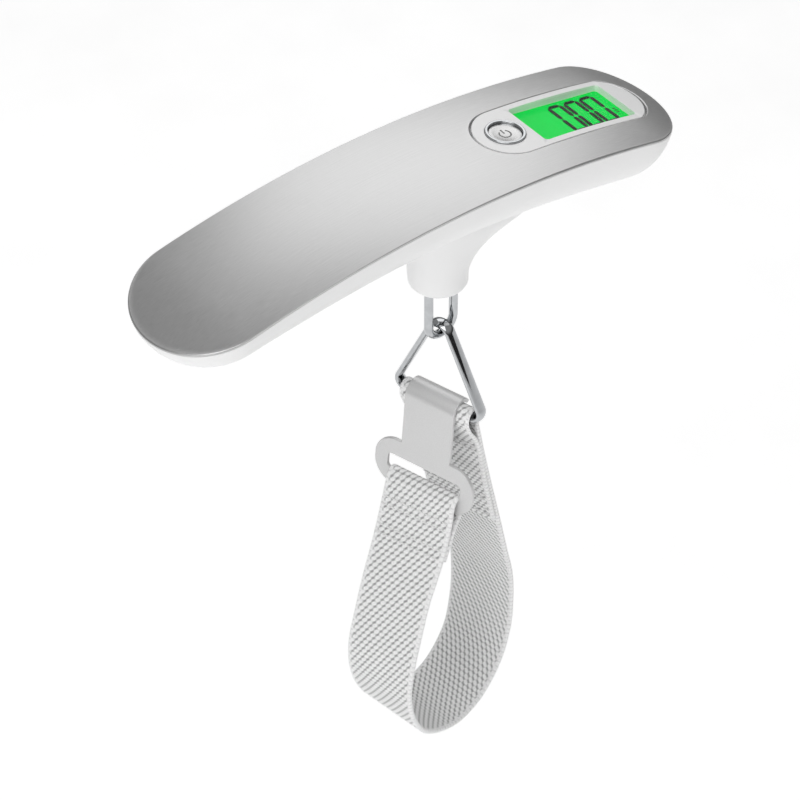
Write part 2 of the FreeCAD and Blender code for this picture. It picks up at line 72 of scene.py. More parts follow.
# Sizes in millimetres. The handle is laid out on its arch: s along it, y across it, n square to it.
ARCH_R, ARCH_X = 260.3, -10.9
HALF_W = 17.8
LEFT_END, RIGHT_END, LEFT_CAP, RIGHT_CAP = -79.7, 60.9, 15.7, 13.2
DISPLAY_X, BUTTON_X = 37.3, 17.7
PANEL_X0, PANEL_X1, PANEL_HALF = 10.0, 56.6, 8.7
SHEET, CROWN = 0.5, 0.75
CHAIN_YAW, LINK_YAW = math.radians(17), math.radians(5)
# Link and ring, middle of the wire: low and high ends, half widths and the radii of the bends
LINK_LOW, LINK_HIGH, LINK_HALF = -50.45, -29.15, 3.9
RING_BAR, RING_TOP, RING_HALF, RING_TIP_BEND, RING_BAR_BEND = -72.3, -47.5, 11.7, 2.8, 2.4
# Display: heights of the segments square to the arch, and the size and place of a digit
SEGMENT_BOTTOM, SEGMENT_TOP = -0.99, -0.95
DIGIT_W, DIGIT_H, DIGIT_PITCH, DIGIT_BAR, DIGIT_X, DIGIT_Y = 3.4, 10.4, 4.75, 1.05, -2.2, -4.9


def unit(vectors):
    """Every vector along the last axis brought to length one."""
    return vectors / np.linalg.norm(vectors, axis=-1, keepdims=True)


def curve_through(points, step):
    """Cubic through the points, each stretch a Hermite with the slope between its neighbours, cut at equal steps."""
    points = np.asarray(points, float)
    knots = np.concatenate([[0], np.cumsum(np.linalg.norm(np.diff(points[:, :2], axis=0), axis=1))])
    slopes = np.gradient(points, knots, axis=0)
    fine = np.linspace(0, knots[-1], int(knots[-1] / step) + 1)
    i = np.clip(np.searchsorted(knots, fine, side="right") - 1, 0, len(knots) - 2)
    width = (knots[i + 1] - knots[i])[:, None]
    t = (fine - knots[i])[:, None] / width
    return ((2 * t ** 3 - 3 * t ** 2 + 1) * points[i] + (t ** 3 - 2 * t ** 2 + t) * width * slopes[i]
            + (3 * t ** 2 - 2 * t ** 3) * points[i + 1] + (t ** 3 - t ** 2) * width * slopes[i + 1])


def on_arch(s, y, n):
    """Bends a straight layout round the arch: the height n is laid off along the arch's radius at s."""
    s, y, n = np.broadcast_arrays(s, y, n)
    sine = (s - ARCH_X) / ARCH_R
    cosine = np.sqrt(1 - sine ** 2)
    return np.stack([ARCH_X + (ARCH_R + n) * sine, y, (ARCH_R + n) * cosine - ARCH_R], -1)


def on_plate(station, x, y, n):
    """Flat layout square to the arch at one station: x along it, n above the seam."""
    x, y, n = np.broadcast_arrays(x, y, n)
    sine = (station - ARCH_X) / ARCH_R
    cosine = math.sqrt(1 - sine ** 2)
    base = on_arch(station, 0.0, 0.0)
    return base + np.stack([x * cosine + n * sine, y, n * cosine - x * sine], -1)


def on_chain(x, y, z, yaw=CHAIN_YAW):
    """Turns a layout of the ring and strap, or of the link, about the pull axis."""
    x, y, z = np.broadcast_arrays(x, y, z)
    c, s = math.cos(yaw), math.sin(yaw)
    return np.stack([x * c - y * s, x * s + y * c, z], -1)


def grid_faces(rows, columns, ring):
    """Quads of a grid that closes round its columns, and round its rows too when it is a ring."""
    i = np.arange(rows if ring else rows - 1)[:, None]
    j = np.arange(columns)[None, :]
    down, right = (i + 1) % rows, (j + 1) % columns
    quads = np.stack([i * columns + j, i * columns + right, down * columns + right, down * columns + j], -1)
    return quads.reshape(-1, 4)


def add_piece(name, points, finish, body, ring=False, sharp=40, relief=None, layout=None):
    """Mesh from rings of points in millimetres, or from several such parts. Ends that don't meet are closed,
    and faces point out: the enclosed volume has to be positive."""
    parts = points if points.ndim == 4 else points[None]
    count, rows, columns = parts.shape[:3]
    corners = parts.reshape(-1, 3) / 1000
    quads = grid_faces(rows, columns, ring)
    rim = np.arange(columns)
    ends = [] if ring else [rim[::-1], (rows - 1) * columns + rim]
    a, b, c, d = (corners[quads[:, k]] for k in range(4))
    if np.einsum("ij,ij->", np.cross(c - a, d - b), (a + b + c + d) / 4 - corners[:rows * columns].mean(0)) < 0:
        quads, ends = quads[:, ::-1], [end[::-1] for end in ends]
    shifts = np.arange(count) * rows * columns
    faces = (quads + shifts[:, None, None]).reshape(-1, 4).tolist()
    faces += [(end + shift).tolist() for end in ends for shift in shifts]
    mesh = bpy.data.meshes.new(name)
    mesh.from_pydata(corners.tolist(), [], faces)
    mesh.shade_smooth()
    mesh.set_sharp_from_angle(angle=math.radians(sharp))
    if relief is not None:
        mesh.attributes.new("relief", "FLOAT", "POINT").data.foreach_set(
            "value", relief.reshape(-1).astype(np.float32))
    if layout is not None:
        loops = np.empty(len(mesh.loops), np.int32)
        mesh.loops.foreach_get("vertex_index", loops)
        mesh.uv_layers.new(name="Weave").data.foreach_set(
            "uv", layout.reshape(-1, 2)[loops].astype(np.float32).reshape(-1))
    mesh.materials.append(material(finish))
    piece = bpy.data.objects.new(name, mesh)
    bpy.context.scene.collection.objects.link(piece)
    if body:
        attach(piece, body)
    return piece


# ---------------------------------------------------------------- finishes

def linear(colour):
    """sRGB hex to a linear colour."""
    values = np.array([int(colour[k:k + 2], 16) for k in (1, 3, 5)]) / 255
    values = np.where(values <= 0.04045, values / 12.92, ((values + 0.055) / 1.055) ** 2.4)
    return (*values.tolist(), 1.0)


def put(tree, kind, inputs=None, **settings):
    """Adds a node, sets its settings, and links or sets its inputs."""
    node = tree.nodes.new(kind)
    for key, value in settings.items():
        setattr(node, key, value)
    for key, value in (inputs or {}).items():
        if isinstance(value, bpy.types.NodeSocket):
            tree.links.new(value, node.inputs[key])
        else:
            node.inputs[key].default_value = value
    return node


# Each finish: two colours that the grain wanders between, the grain's size in millimetres along X, Y and Z,
# the roughness at its two ends, the bump's height in millimetres, and the shader's own numbers.
FINISHES = {
    # stainless sheet, brushed along the handle: soft reflections drawn out across the brush lines
    "brushed_steel_cover": (("#bebebe", "#cdcdcd"), (26, 0.12, 0.5), (0.30, 0.42), 0.004,
                            {"Metallic": 1.0}),
    # glossy moulded ABS: an even white with a soft broad highlight and a trace of flow
    "white_abs": (("#f3f3f3", "#f5f5f5"), (30, 30, 30), (0.3, 0.34), 0.0, {"IOR": 1.53}),
    # zinc-plated steel: bright, slightly cloudy
    "screw_steel": (("#a9abad", "#c3c5c8"), (0.6, 0.6, 0.6), (0.25, 0.4), 0.004, {"Metallic": 1.0}),
    # thin polished acrylic: all but clear, with a faint sharp reflection
    "clear_lens": (("#5c6660", "#667069"), (8, 8, 8), (0.02, 0.04), 0.0, {"IOR": 1.49, "Alpha": 0.03}),
    # liquid crystal glass over a green backlight: an even glow
    "green_lcd": (("#00bc40", "#02c446"), (6, 6, 6), (0.2, 0.25), 0.0,
                  {"Emission Strength": 0.6, "Specular IOR Level": 0.1}),
    # moulded conductive silicone: dull black
    "black_rubber": (("#141414", "#1f1f1f"), (0.3, 0.3, 0.3), (0.7, 0.85), 0.006, {"IOR": 1.41}),
    # glass-fibre laminate under green solder mask: the cloth shows faintly
    "board_laminate": (("#0e5a2c", "#156b37"), (0.5, 0.5, 0.5), (0.35, 0.5), 0.008, {"IOR": 1.5}),
    # moulded black epoxy: fine matt grain
    "black_epoxy": (("#161616", "#222222"), (0.2, 0.2, 0.2), (0.5, 0.65), 0.004, {"IOR": 1.55}),
    # metallised plastic: satin silver
    "silver_button": (("#b9b9b9", "#cdcdcd"), (0.5, 0.5, 0.5), (0.24, 0.34), 0.003, {"Metallic": 1.0}),
    # polished chrome plate: a hard mirror with dark reflections
    "polished_chrome": (("#b0b2b4", "#bdbfc1"), (2, 2, 2), (0.04, 0.08), 0.0, {"Metallic": 1.0}),
    # nickel-plated steel: warm and fairly bright
    "cell_steel": (("#c4c0b6", "#d6d2c8"), (0.8, 0.8, 0.8), (0.2, 0.32), 0.003, {"Metallic": 1.0}),
    # moulded black ABS: satin
    "black_plastic": (("#181818", "#202020"), (0.4, 0.4, 0.4), (0.4, 0.5), 0.006, {"IOR": 1.53}),
    # milled aluminium: fine parallel tool marks
    "milled_aluminium": (("#c9cbcd", "#dcdee0"), (0.3, 12, 3), (0.25, 0.4), 0.006, {"Metallic": 1.0}),
    # PVC wire cover: smooth dull red
    "wire_rubber": (("#9c1f1c", "#ab2723"), (1, 1, 1), (0.4, 0.5), 0.002, {"IOR": 1.52}),
    # pressed steel plate under a satin grey coat: even, with a soft highlight
    "satin_plate": (("#cfcfcf", "#d8d8d8"), (0.25, 0.25, 0.25), (0.36, 0.46), 0.004,
                    {"Metallic": 0.35, "IOR": 1.5}),
    # etched display segments: flat black
    "lcd_segment": (("#020302", "#040604"), (1, 1, 1), (0.4, 0.5), 0.0, {"IOR": 1.5}),
    # printed mark on the button: dark grey
    "button_print": (("#6b6b6b", "#777777"), (0.3, 0.3, 0.3), (0.4, 0.5), 0.0, {"IOR": 1.5}),
    # polyester sewing thread: fine bright twist
    "sewing_thread": (("#dcdcdc", "#f0f0f0"), (0.3, 0.3, 0.3), (0.6, 0.75), 0.01, {"IOR": 1.5}),
    # painted paper sweep under the object
    "stage_paper": (("#f7f7f7", "#fafafa"), (40, 40, 40), (0.8, 0.9), 0.0,
                    {"IOR": 1.4, "Emission Strength": 0.42}),
}


def material(name):
    """The finish of that name, made once."""
    if name in bpy.data.materials and bpy.data.materials[name].get("made_here"):
        return bpy.data.materials[name]
    return make_webbing(name) if name == "grey_webbing" else make_finish(name)


def new_material(name):
    made = bpy.data.materials.new(name)
    made.name = name
    made["made_here"] = True
    made.use_nodes = True
    tree = made.node_tree
    return made, tree, tree.nodes["Principled BSDF"]


def colour_ramp(tree, fac, low, high):
    """Colour ramp with two stops, each a linear colour and its place."""
    ramp = put(tree, "ShaderNodeValToRGB", {"Fac": fac})
    for stop, (colour, at) in zip(ramp.color_ramp.elements, (low, high)):
        stop.color, stop.position = colour, at
    return ramp.outputs["Color"]


def make_finish(name):
    colours, grain, roughness, bump, numbers = FINISHES[name]
    made, tree, shader = new_material(name)
    place = put(tree, "ShaderNodeTexCoord").outputs["Object"]
    stretched = put(tree, "ShaderNodeMapping", {"Vector": place, "Scale": [1000 / g for g in grain]})
    noise = put(tree, "ShaderNodeTexNoise", {"Vector": stretched.outputs["Vector"], "Scale": 1.0, "Detail": 3.0,
                                             "Roughness": 0.6})
    colour = colour_ramp(tree, noise.outputs["Fac"], (linear(colours[0]), 0.3), (linear(colours[1]), 0.7))
    rough = put(tree, "ShaderNodeMapRange", {"Value": noise.outputs["Fac"], "From Min": 0.3, "From Max": 0.7,
                                             "To Min": roughness[0], "To Max": roughness[1]})
    tree.links.new(colour, shader.inputs["Base Color"])
    tree.links.new(rough.outputs["Result"], shader.inputs["Roughness"])
    if bump:
        relief = put(tree, "ShaderNodeBump", {"Height": noise.outputs["Fac"], "Strength": 1.0,
                                              "Distance": bump / 1000})
        tree.links.new(relief.outputs["Normal"], shader.inputs["Normal"])
    for key, value in numbers.items():
        shader.inputs[key].default_value = value
    if "Emission Strength" in numbers:
        tree.links.new(colour, shader.inputs["Emission Color"])
    return made


def make_webbing(name):
    """Polyester webbing: the floats of yarn are pale, and the gaps between them are painted grey as shade by a ramp
    on the relief.
    """
    settings = bpy.context.scene.luggage_scale
    made, tree, shader = new_material(name)
    relief = put(tree, "ShaderNodeAttribute", attribute_name="relief").outputs["Fac"]
    # painted shade: the colour runs from the grey of the gaps up to the pale yarn as the relief rises, so the low
    # places between floats come out darker
    colour = colour_ramp(tree, relief, ((*settings.webbing_gap_shade, 1), 0.05), ((*settings.webbing_yarn, 1), 0.7))
    sheet = put(tree, "ShaderNodeUVMap", uv_map="Weave").outputs["UV"]
    # filaments 0.22 mm apart along each float, coarser than real ones so that they show
    threads = put(tree, "ShaderNodeTexWave", {"Vector": sheet, "Scale": 1 / 0.22 / 3.2, "Distortion": 1.5,
                                              "Detail": 2.0}, bands_direction="X")
    fuzz = put(tree, "ShaderNodeTexNoise", {"Vector": sheet, "Scale": 2.2, "Detail": 4.0})
    bump = put(tree, "ShaderNodeBump", {"Height": threads.outputs["Fac"], "Strength": 0.6, "Distance": 0.00004})
    fine = put(tree, "ShaderNodeBump", {"Height": fuzz.outputs["Fac"], "Strength": 0.7, "Distance": 0.00008,
                                        "Normal": bump.outputs["Normal"]})
    mottle = put(tree, "ShaderNodeMapRange", {"Value": fuzz.outputs["Fac"], "From Min": 0.3, "From Max": 0.7,
                                              "To Min": 0.86, "To Max": 1.06})
    shade = put(tree, "ShaderNodeVectorMath", {0: colour}, operation="SCALE")
    tree.links.new(mottle.outputs["Result"], shade.inputs["Scale"])
    tree.links.new(shade.outputs["Vector"], shader.inputs["Base Color"])
    tree.links.new(fine.outputs["Normal"], shader.inputs["Normal"])
    shader.inputs["Roughness"].default_value = 0.78
    shader.inputs["Sheen Weight"].default_value = 0.25
    return made


# ---------------------------------------------------------------- settings

class LuggageScaleSettings(bpy.types.PropertyGroup):
    """Sizes and colours of the scale that a user may change."""
    edge_radius: bpy.props.FloatProperty(
        name="Cover edge", description="Radius of the rolled edge of the steel cover", default=0.00045,
        min=0.0001, max=0.001, unit="LENGTH")
    yarn_pitch: bpy.props.FloatProperty(
        name="Yarn pitch", description="Distance between floats across the webbing", default=0.0016,
        min=0.0008, max=0.004, unit="LENGTH")
    row_pitch: bpy.props.FloatProperty(
        name="Row pitch", description="Distance between rows of floats along the webbing", default=0.0014,
        min=0.0008, max=0.004, unit="LENGTH")
    yarn_height: bpy.props.FloatProperty(
        name="Yarn height", description="How far a float stands out of the webbing", default=0.00022,
        min=0.0, max=0.0006, unit="LENGTH")
    webbing_yarn: bpy.props.FloatVectorProperty(
        name="Yarn colour", description="Colour of the webbing's floats", default=linear("#fbfbfb")[:3],
        subtype="COLOR", min=0, max=1)
    # painted shade for the low places between the floats, not a colour of the yarn
    webbing_gap_shade: bpy.props.FloatVectorProperty(
        name="Gap colour", description="Colour between the webbing's floats", default=linear("#9c9c9c")[:3],
        subtype="COLOR", min=0, max=1)
    floor_drop: bpy.props.FloatProperty(
        name="Floor drop", description="Height of the scale's lowest point above the floor", default=0.12,
        min=0.0, max=1.0, unit="LENGTH")
    key_power: bpy.props.FloatProperty(
        name="Key light", description="Power of the large light behind the scale", default=1.0,
        min=0, max=100, unit="POWER")


# ---------------------------------------------------------------- handle

def round_the_sides(right, left, x0, x1, half):
    """Joins two rounded ends by straight sides into one anticlockwise outline."""
    side = np.linspace(x1, x0, 90)[1:-1]
    top = np.stack([side, np.full_like(side, half)], -1)
    return np.concatenate([right, top, left, top[::-1] * [1, -1]])


def outline(corners=96):
    """Outline of the handle on the arch: two straight sides and two half-ellipse ends, run anticlockwise."""
    x0, x1 = LEFT_END + LEFT_CAP, RIGHT_END - RIGHT_CAP
    turn = np.linspace(-np.pi / 2, np.pi / 2, corners)
    right = np.stack([x1 + RIGHT_CAP * np.cos(turn), HALF_W * np.sin(turn)], -1)
    left = np.stack([x0 - LEFT_CAP * np.cos(turn), -HALF_W * np.sin(turn)], -1)
    return round_the_sides(right, left, x0, x1, HALF_W)


def panel_outline():
    """Outline of the display panel: a half circle at the button, a shallow arc at the far end."""
    blunt = 0.62 * PANEL_HALF
    bow = (PANEL_HALF ** 2 + blunt ** 2) / (2 * blunt)
    reach = math.asin(PANEL_HALF / bow)
    turn = np.linspace(-1, 1, 80)
    right = np.stack([PANEL_X1 - bow + bow * np.cos(turn * reach), bow * np.sin(turn * reach)], -1)
    left = np.stack([PANEL_X0 + PANEL_HALF - PANEL_HALF * np.cos(turn * np.pi / 2),
                     -PANEL_HALF * np.sin(turn * np.pi / 2)], -1)
    return round_the_sides(right, left, PANEL_X0 + PANEL_HALF, PANEL_X1 - blunt, PANEL_HALF)


def crown(s, y):
    """Rise of the cover above its edge: a parabola across the handle that also falls away round the ends."""
    end = np.maximum(np.maximum((LEFT_END + LEFT_CAP - s) / LEFT_CAP, (s - RIGHT_END + RIGHT_CAP) / RIGHT_CAP), 0)
    return CROWN * (1 - np.clip((y / HALF_W) ** 2 + end ** 2, 0, 1))


class SCALE_OT_cover(bpy.types.Operator):
    """Steel cover: a sheet from the panel's opening to the rim, with both edges rolled down"""
    bl_idname = "scale.cover"
    bl_label = "Steel cover"

    def execute(self, context):
        r = context.scene.luggage_scale.edge_radius * 1000
        outer = outline()
        middle = np.array([33.0, 0.0])
        opening = panel_outline()
        angle = np.arctan2(opening[:, 1], opening[:, 0] - middle[0])
        order = np.argsort(angle)
        reach = np.linalg.norm(opening - middle, axis=1)[order]
        way = outer - middle
        turn = np.arctan2(way[:, 1], way[:, 0])
        inner = middle + unit(way) * np.interp(
            turn, angle[order], reach, period=2 * np.pi)[:, None]
        # section of the sheet: top face outwards, quarter round down, edge, under face inwards, quarter round up
        quarter = np.linspace(0, np.pi / 2, 9)
        span = np.linspace(0, 1, 70)
        gap = np.linalg.norm(outer - inner, axis=1)
        near, far = r / gap, 1 - r / gap
        top = near[:, None] + (far - near)[:, None] * span
        across = [top, far[:, None] + near[:, None] * np.sin(quarter),
                  1 - near[:, None] * np.linspace(0, 1, 4) ** 2 * 0.9,
                  far[:, None] + (near - far)[:, None] * span[::5],
                  near[:, None] - near[:, None] * np.sin(quarter[::-1])]
        height = [np.full_like(span, SHEET), SHEET - r + r * np.cos(quarter), np.zeros(4),
                  np.zeros(len(span[::5])), SHEET - r + r * np.cos(quarter[::-1])]
        t = np.concatenate(across, 1)[:, :, None]
        n = np.broadcast_to(np.concatenate(height), t.shape[:2])
        flat = inner[:, None] * (1 - t) + outer[:, None] * t
        points = on_arch(flat[..., 0], flat[..., 1], n + crown(flat[..., 0], flat[..., 1]))
        piece = add_piece("steel_cover", points, "brushed_steel_cover", "handle", ring=True, sharp=60)
        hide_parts("top_cover")
        return {"FINISHED"}


class SCALE_OT_display(bpy.types.Operator):
    """Display segments: flat bars with pointed ends, three noughts, a point and a small unit mark"""
    bl_idname = "scale.display"
    bl_label = "Display segments"

    def execute(self, context):
        points = []
        y0, y1 = DIGIT_Y, DIGIT_Y + DIGIT_H
        ym = (y0 + y1) / 2
        for digit in range(3):
            x0 = DIGIT_X + DIGIT_PITCH * digit
            x1 = x0 + DIGIT_W
            for a, b in (((x0, y0), (x0, ym)), ((x0, ym), (x0, y1)), ((x1, y0), (x1, ym)),
                         ((x1, ym), (x1, y1)), ((x0, y0), (x1, y0)), ((x0, y1), (x1, y1))):
                points.append(self.bar(a, b, DIGIT_BAR, 0.14))
        points.append(self.bar((1.9, -5.3), (1.9, -4.4), 0.9, 0.0))
        for k in range(3):
            points.append(self.bar((12.0, -2.4 + 0.75 * k), (12.9, -2.4 + 0.75 * k), 0.3, 0.0))
        piece = add_piece("lcd_segments", np.stack(points), "lcd_segment", "handle")
        return {"FINISHED"}

    @staticmethod
    def bar(a, b, thick, gap):
        """Six-sided prism from a to b, pointed at both ends, a hair above the display glass."""
        a, b = np.array(a, float), np.array(b, float)
        along = unit(b - a)
        side = np.array([-along[1], along[0]]) * thick / 2
        tip = along * thick / 2
        a, b = a + along * gap, b - along * gap
        flat = np.array([a - tip * 0.2, a + tip + side, b - tip + side,
                         b + tip * 0.2, b - tip - side, a + tip - side])
        return np.stack([on_plate(DISPLAY_X, flat[:, 0], flat[:, 1], n) for n in (SEGMENT_BOTTOM, SEGMENT_TOP)])


class SCALE_OT_button(bpy.types.Operator):
    """Power mark on the button: a ring open at the top and a short bar, both half-round in section"""
    bl_idname = "scale.button"
    bl_label = "Button mark"

    def execute(self, context):
        open_half = math.radians(38)
        turn = np.linspace(np.pi / 2 + open_half, 2.5 * np.pi - open_half, 60)
        for name, path in (("button_mark_ring", np.stack([1.35 * np.cos(turn), 1.35 * np.sin(turn)], -1)),
                           ("button_mark_bar", np.stack([np.zeros(12), np.linspace(0.25, 1.75, 12)], -1))):
            along = unit(np.gradient(path, axis=0))
            side = np.stack([-along[:, 1], along[:, 0]], -1)
            round_ = np.linspace(0, 2 * np.pi, 12, endpoint=False)
            flat = path[:, None] + side[:, None] * (0.17 * np.cos(round_))[None, :, None]
            n = 0.67 + (path ** 2).sum(1)[:, None] / 52 + 0.05 * np.sin(round_)[None, :]
            points = on_plate(BUTTON_X, flat[..., 0], flat[..., 1], n)
            piece = add_piece(name, points, "button_print", "button")
        return {"FINISHED"}


# ---------------------------------------------------------------- wire pieces

def rounded_loop(corners, radii, step=0.25):
    """Closed line round the corners in a plane: straight runs joined by tangent arcs."""
    corners = np.asarray(corners, float)
    rows = []
    for before, corner, after, radius in zip(np.roll(corners, 1, 0), corners, np.roll(corners, -1, 0), radii):
        to, away = corner - before, after - corner
        to, away = unit(to), unit(away)
        angle = math.acos(np.clip(to @ away, -1, 1))
        start = corner - to * radius * math.tan(angle / 2)
        turn = np.linspace(0, angle, max(12, int(radius * angle / step)))
        side = unit(away - to * (to @ away))
        rows.append(start + radius * (np.sin(turn)[:, None] * to + (1 - np.cos(turn))[:, None] * side))
    return np.concatenate(rows)


def wire_loop(path, half_in, half_out):
    """Elliptic wire carried round a closed line in the Y-Z plane."""
    ahead = unit(np.roll(path, -1, 0) - np.roll(path, 1, 0))
    side = np.stack([-ahead[:, 1], ahead[:, 0]], -1)
    turn = np.linspace(0, 2 * np.pi, 32, endpoint=False)
    flat = path[:, None] + side[:, None] * (half_in * np.cos(turn))[None, :, None]
    return np.broadcast_to(half_out * np.sin(turn), flat.shape[:2]), flat[..., 0], flat[..., 1]


class SCALE_OT_wire(bpy.types.Operator):
    """Chromed oval link and triangular ring: flattened wire bent round their corners"""
    bl_idname = "scale.wire"
    bl_label = "Link and ring"

    def execute(self, context):
        r = LINK_HALF
        square = [(-r, LINK_LOW), (r, LINK_LOW), (r, LINK_HIGH), (-r, LINK_HIGH)]
        # the bends stop just short of meeting, so that no two rows of the wire fall together
        out, y, z = wire_loop(rounded_loop(square, [r - 1e-4] * 4), 1.05, 1.1)
        piece = add_piece("chrome_link", on_chain(y, out, z, LINK_YAW), "polished_chrome", "link", ring=True)
        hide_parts("oval_link")
        # half the tip's angle and the sharp corners depend on each other: a few rounds settle them
        half = math.atan2(RING_HALF, RING_TOP - RING_BAR)
        for _ in range(20):
            tip = RING_TOP + RING_TIP_BEND * (1 / math.sin(half) - 1)
            spread = RING_HALF + RING_BAR_BEND * (1 / math.tan(math.pi / 4 - half / 2) - 1)
            half = math.atan2(spread, tip - RING_BAR)
        path = rounded_loop([(-spread, RING_BAR), (spread, RING_BAR), (0, tip)],
                            [RING_BAR_BEND, RING_BAR_BEND, RING_TIP_BEND])
        out, y, z = wire_loop(path, 0.9, 1.65)
        piece = add_piece("chrome_ring", on_chain(out, y, z), "polished_chrome", "ring", ring=True)
        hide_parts("triangle_ring")
        return {"FINISHED"}


# ---------------------------------------------------------------- webbing

# Middle of the webbing: across the loop, up, how far its width is turned in degrees, thickness.
# From the sewn end behind the ring's bar, over the bar, down the far leg and up to the hook and round it.
STRAP_ROUTE = [
    (10.6, -115.0, 17, 1.1), (6.3, -98.6, 17, 1.1), (1.7, -81.0, 17, 1.0), (-1.0, -76.3, 17, 0.8),
    (-2.05, -72.3, 17, 0.66), (-1.45, -70.85, 17, 0.66), (0.0, -70.25, 17, 0.66), (1.45, -70.85, 17, 0.66),
    (2.05, -72.3, 17, 0.66), (2.1, -75.5, 17, 0.9), (3.3, -81.5, 17, 1.1), (7.7, -98.9, 17, 1.15),
    (12.2, -115.0, 16.5, 1.2), (16.8, -131.7, 15.5, 1.2), (19.8, -142.7, 14.5, 1.2), (20.5, -152.0, 14, 1.2),
    (19.6, -163.0, 13.2, 1.2), (16.2, -171.5, 9.5, 1.2), (8.6, -177.2, 8, 1.2), (-0.9, -177.7, 8.5, 1.2),
    (-9.6, -173.8, 9, 1.2), (-17.2, -167.4, 9.5, 1.2), (-22.6, -157.5, 11, 1.2), (-24.6, -149.0, 13.3, 1.2),
    (-24.2, -141.0, 16, 1.2), (-21.1, -131.0, 16, 1.2), (-17.3, -121.0, 15.5, 1.2), (-13.2, -113.0, 18, 1.2),
    (-10.3, -106.0, 19.5, 1.2), (-8.7, -101.0, 18.5, 1.2), (-7.8, -97.6, 17, 1.1), (-7.0, -95.6, 17, 0.95),
    (-5.5, -94.8, 17, 0.9), (-4.1, -96.2, 17, 0.95), (-4.1, -98.8, 17, 1.0), (-4.7, -101.4, 17.5, 1.0),
    (-7.0, -104.0, 19, 1.1), (-9.4, -108.6, 18.5, 1.1), (-11.0, -112.0, 17.5, 1.1)]
STRAP_HALF, STRAP_EDGE = 10.0, 0.45
# where the route is cut into the piece that rides with the strap and the piece that runs on round the hook
SPLIT = (-12.7, -171.4)


def float_relief(across, along, pitch, row):
    """Floats of yarn: tilted oval domes in rows, every second row moved by half a pitch. From 0 to 1."""
    line = np.floor(along / row)
    y = along / row - line - 0.5
    x = across / pitch + 0.5 * (line % 2) + 0.45 * y
    x = x - np.floor(x) - 0.5
    return np.clip(1 - (x / 0.5) ** 2 - (y / 0.6) ** 2, 0, 1) ** 0.7


def strap_frames(step):
    """Middle line of the webbing with its width and face directions at each row."""
    route = curve_through(STRAP_ROUTE, step)
    middle = on_chain(route[:, 0], 0.3, route[:, 1])
    yaw = np.radians(route[:, 2])
    width = np.stack([-np.sin(yaw), np.cos(yaw), np.zeros_like(yaw)], -1)
    ahead = np.gradient(middle, axis=0)
    face = unit(np.cross(width, ahead))
    along = np.concatenate([[0], np.cumsum(np.linalg.norm(np.diff(middle, axis=0), axis=1))])
    return route, middle, width, face, along


class SCALE_OT_webbing(bpy.types.Operator):
    """Webbing: a flat rounded section carried along the loop, raised into floats of yarn on both faces"""
    bl_idname = "scale.webbing"
    bl_label = "Webbing"

    def execute(self, context):
        settings = context.scene.luggage_scale
        pitch, row = settings.yarn_pitch * 1000, settings.row_pitch * 1000
        route, middle, width, face, along = strap_frames(row / 5)
        columns = int(2 * STRAP_HALF / pitch * 5)
        flat = np.linspace(-1, 1, columns) * (STRAP_HALF - STRAP_EDGE)
        bend = np.linspace(-np.pi / 2, np.pi / 2, 7)[1:-1]
        across = np.concatenate([flat, STRAP_HALF - STRAP_EDGE + STRAP_EDGE * np.cos(bend),
                                 flat[::-1], -STRAP_HALF + STRAP_EDGE - STRAP_EDGE * np.cos(bend)])
        side = np.concatenate([-np.ones(columns), np.sin(bend), np.ones(columns), -np.sin(bend)])
        # the edges are woven closer and stay flatter
        edge = np.clip((STRAP_HALF - 0.7 - np.abs(across)) / 0.5, 0, 1)
        relief = float_relief(across[None, :], along[:, None], pitch, row)
        cord = 0.75 + 0.25 * np.cos(2 * np.pi * along / row)[:, None] * np.ones_like(relief)
        relief = relief * edge + cord * (1 - edge)
        tight = np.clip((route[:, 3] - 0.6) / 0.4, 0.15, 1)[:, None]
        height = side * (route[:, 3:4] / 2 - 0.14 + settings.yarn_height * 1000 * relief * tight * np.abs(side))
        points = middle[:, None] + width[:, None] * across[None, :, None] + face[:, None] * height[..., None]
        layout = np.stack(np.broadcast_arrays(across[None, :], along[:, None]), -1)
        bottom = np.linalg.norm(route[:, :2] - SPLIT, axis=1).argmin()
        far = add_piece("webbing_far", points[:bottom + 1], "grey_webbing", "strap", sharp=80,
                        relief=relief[:bottom + 1], layout=layout[:bottom + 1])
        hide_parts("webbing_strap")
        near = add_piece("webbing_near", points[bottom:], "grey_webbing", None, sharp=80,
                         relief=relief[bottom:], layout=layout[bottom:])
        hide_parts("strap_near_end")
        (on_chain(-15.0, 0, -169.5) / 1000).tolist()
        (on_chain(-11.5, 0, -108.0) / 1000).tolist()
        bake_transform(near)
        return {"FINISHED"}


class SCALE_OT_stitches(bpy.types.Operator):
    """Stitches: short ellipsoids of thread in rows across the webbing where its two layers are sewn"""
    bl_idname = "scale.stitches"
    bl_label = "Stitches"

    def execute(self, context):
        route, middle, width, face, along = strap_frames(0.1)
        turn = np.linspace(0, 2 * np.pi, 10, endpoint=False)
        lift = np.linspace(-1, 1, 9)
        girth = np.sqrt(1 - (lift * 0.98) ** 2)[:, None]
        rising = np.gradient(route[:, 1]) > 0
        first_half = np.arange(len(route)) < len(route) // 2
        for name, body, side, heights in (
                ("stitches_far", "strap", first_half, (-84, -86.2, -104, -106.2, -110.6, -112.8)),
                ("stitches_near", "hook", ~first_half, (-101.2, -103.4, -108.6, -110.8))):
            rows = [np.abs(np.where(rising & side, route[:, 1], 1e3) - height).argmin() for height in heights]
            parts = []
            for k, at in enumerate(rows):
                for across in np.arange(-8.4, 8.5, 2.4) + 0.5 * (k % 2):
                    ring = (middle[at] + width[at] * (across + 0.9 * lift[:, None, None])
                            - face[at] * (0.80 + 0.20 * (girth * np.sin(turn)))[..., None]
                            + np.cross(width[at], face[at]) * (0.24 * (girth * np.cos(turn)))[..., None])
                    parts.append(ring)
            piece = add_piece(name, np.stack(parts), "sewing_thread", body)
        return {"FINISHED"}


# ---------------------------------------------------------------- carried-over pieces

